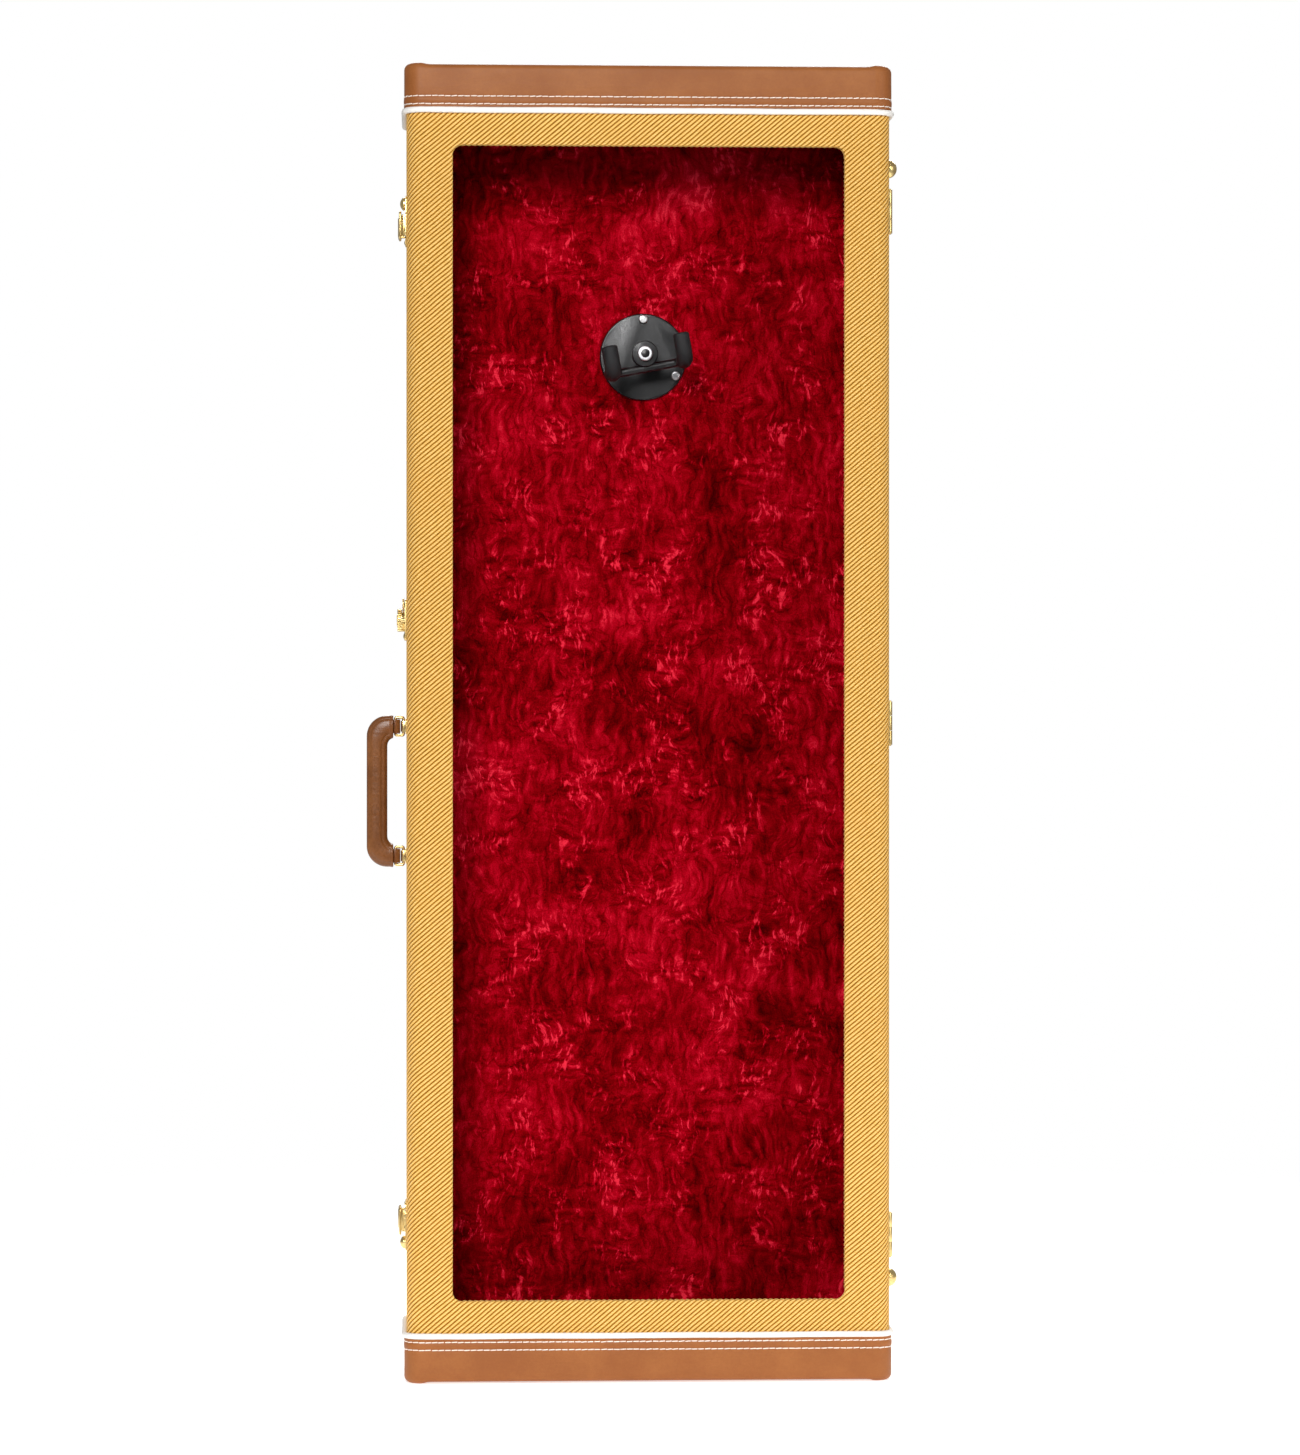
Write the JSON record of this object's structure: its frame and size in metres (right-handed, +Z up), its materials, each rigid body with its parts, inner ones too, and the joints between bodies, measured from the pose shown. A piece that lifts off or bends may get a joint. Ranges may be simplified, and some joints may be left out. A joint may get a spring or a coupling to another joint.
{
  "type": "guitar display case",
  "caption": "Upright tweed-covered guitar case with a windowed hinged lid, plush lining, a swivelling neck hanger, draw latches, a key lock and a side handle.",
  "frame": {"origin": "middle of the width and of the depth, on the flat bottom end of the case", "axes": "+X to the right seen from the front, +Y from the window towards the wall, +Z up the height"},
  "size_m": [0.486, 0.1505, 1.2],
  "materials": {
    "plywood": "bare birch plywood",
    "tweed": "lacquered yellow tweed with diagonal ribs",
    "wrap_leathercloth": "brown grained leathercloth",
    "white_piping": "white vinyl piping",
    "plush": "crushed red plush",
    "rim_trim": "dark moulded strip",
    "brass": "polished brass plate",
    "clear_pane": "clear acrylic sheet",
    "steel_screws": "zinc plated",
    "black_rubber": "matt black rubber",
    "black_metal": "black enamel",
    "handle_leather": "moulded brown leather"
  },
  "bodies": {
    "base": {"base_board_left": "plywood", "base_board_right": "plywood", "base_board_top": "plywood", "base_board_bottom": "plywood", "back_panel": "plywood", "base_tweed": "tweed", "base_wrap_bottom": "wrap_leathercloth", "base_wrap_top": "wrap_leathercloth", "base_piping": "white_piping", "rim_valance": "rim_trim", "base_liner": "plush", "back_pad": "plush", "hinge_base_leaves": "brass", "hinge_pins": "brass", "latch_plate_lower": "brass", "latch_plate_upper": "brass", "latch_pins": "brass", "lock_plate": "brass", "lock_boss": "brass", "handle_brackets": "brass", "hanger_plate": "black_metal", "hanger_stem": "black_metal", "hanger_nut": "black_metal", "hanger_screws": "steel_screws", "base_feet": "brass", "base_rivets": "brass", "wall_inserts": "brass", "back_bumpers": "black_rubber"},
    "lid": {"lid_board_left": "plywood", "lid_board_right": "plywood", "lid_board_top": "plywood", "lid_board_bottom": "plywood", "lid_front_panel": "plywood", "lid_tweed": "tweed", "lid_wrap_bottom": "wrap_leathercloth", "lid_wrap_top": "wrap_leathercloth", "lid_piping": "white_piping", "window_pane": "clear_pane", "pane_retainers": "plywood", "retainer_screws": "steel_screws", "lid_liner": "plush", "hinge_lid_leaves": "brass", "latch_keepers": "brass", "lock_strike": "brass", "lid_feet": "brass", "lid_rivets": "brass"},
    "upper_lever": {"latch_lever_upper": "brass"},
    "upper_bail": {"latch_bail_upper": "brass"},
    "lower_lever": {"latch_lever_lower": "brass"},
    "lower_bail": {"latch_bail_lower": "brass"},
    "lock_key": {"lock_plug": "brass", "lock_hook": "brass"},
    "handle": {"handle_grip": "handle_leather", "handle_tabs": "handle_leather", "handle_rings": "brass"},
    "yoke": {"yoke_frame": "black_metal", "yoke_sleeves": "black_rubber"}
  },
  "joints": [
    {"name": "lid_hinge", "type": "hinge", "parent": "base", "child": "lid", "pos_m": [0.2238, -0.022, 0.6], "axis": [0, 0, 1], "range_deg": [0, 110]},
    {"name": "upper_lever_swing", "type": "hinge", "parent": "base", "child": "upper_lever", "pos_m": [-0.2245, -0.013, 1.056], "axis": [0, 0, 1], "range_deg": [0, 120]},
    {"name": "upper_bail_swing", "type": "hinge", "parent": "upper_lever", "child": "upper_bail", "pos_m": [-0.2265, -0.005, 1.056], "axis": [0, 0, 1], "range_deg": [-160, 0]},
    {"name": "lower_lever_swing", "type": "hinge", "parent": "base", "child": "lower_lever", "pos_m": [-0.2245, -0.013, 0.144], "axis": [0, 0, 1], "range_deg": [0, 120]},
    {"name": "lower_bail_swing", "type": "hinge", "parent": "lower_lever", "child": "lower_bail", "pos_m": [-0.2265, -0.005, 0.144], "axis": [0, 0, 1], "range_deg": [-160, 0]},
    {"name": "lock_turn", "type": "hinge", "parent": "base", "child": "lock_key", "pos_m": [-0.2245, -0.0095, 0.6946], "axis": [1, 0, 0], "range_deg": [0, 90]},
    {"name": "handle_swing", "type": "hinge", "parent": "base", "child": "handle", "pos_m": [-0.2235, 0.0241, 0.537], "axis": [0, 0, 1], "range_deg": [-44, 44]},
    {"name": "yoke_swivel", "type": "hinge", "parent": "base", "child": "yoke", "pos_m": [0, 0.0124, 0.942], "axis": [0, 1, 0], "range_deg": [-30, 30]}
  ],
  "couplings": [
    {"joint": "upper_bail_swing", "follows": "upper_lever_swing", "ratio": -1.3333},
    {"joint": "lower_bail_swing", "follows": "lower_lever_swing", "ratio": -1.3333}
  ]
}
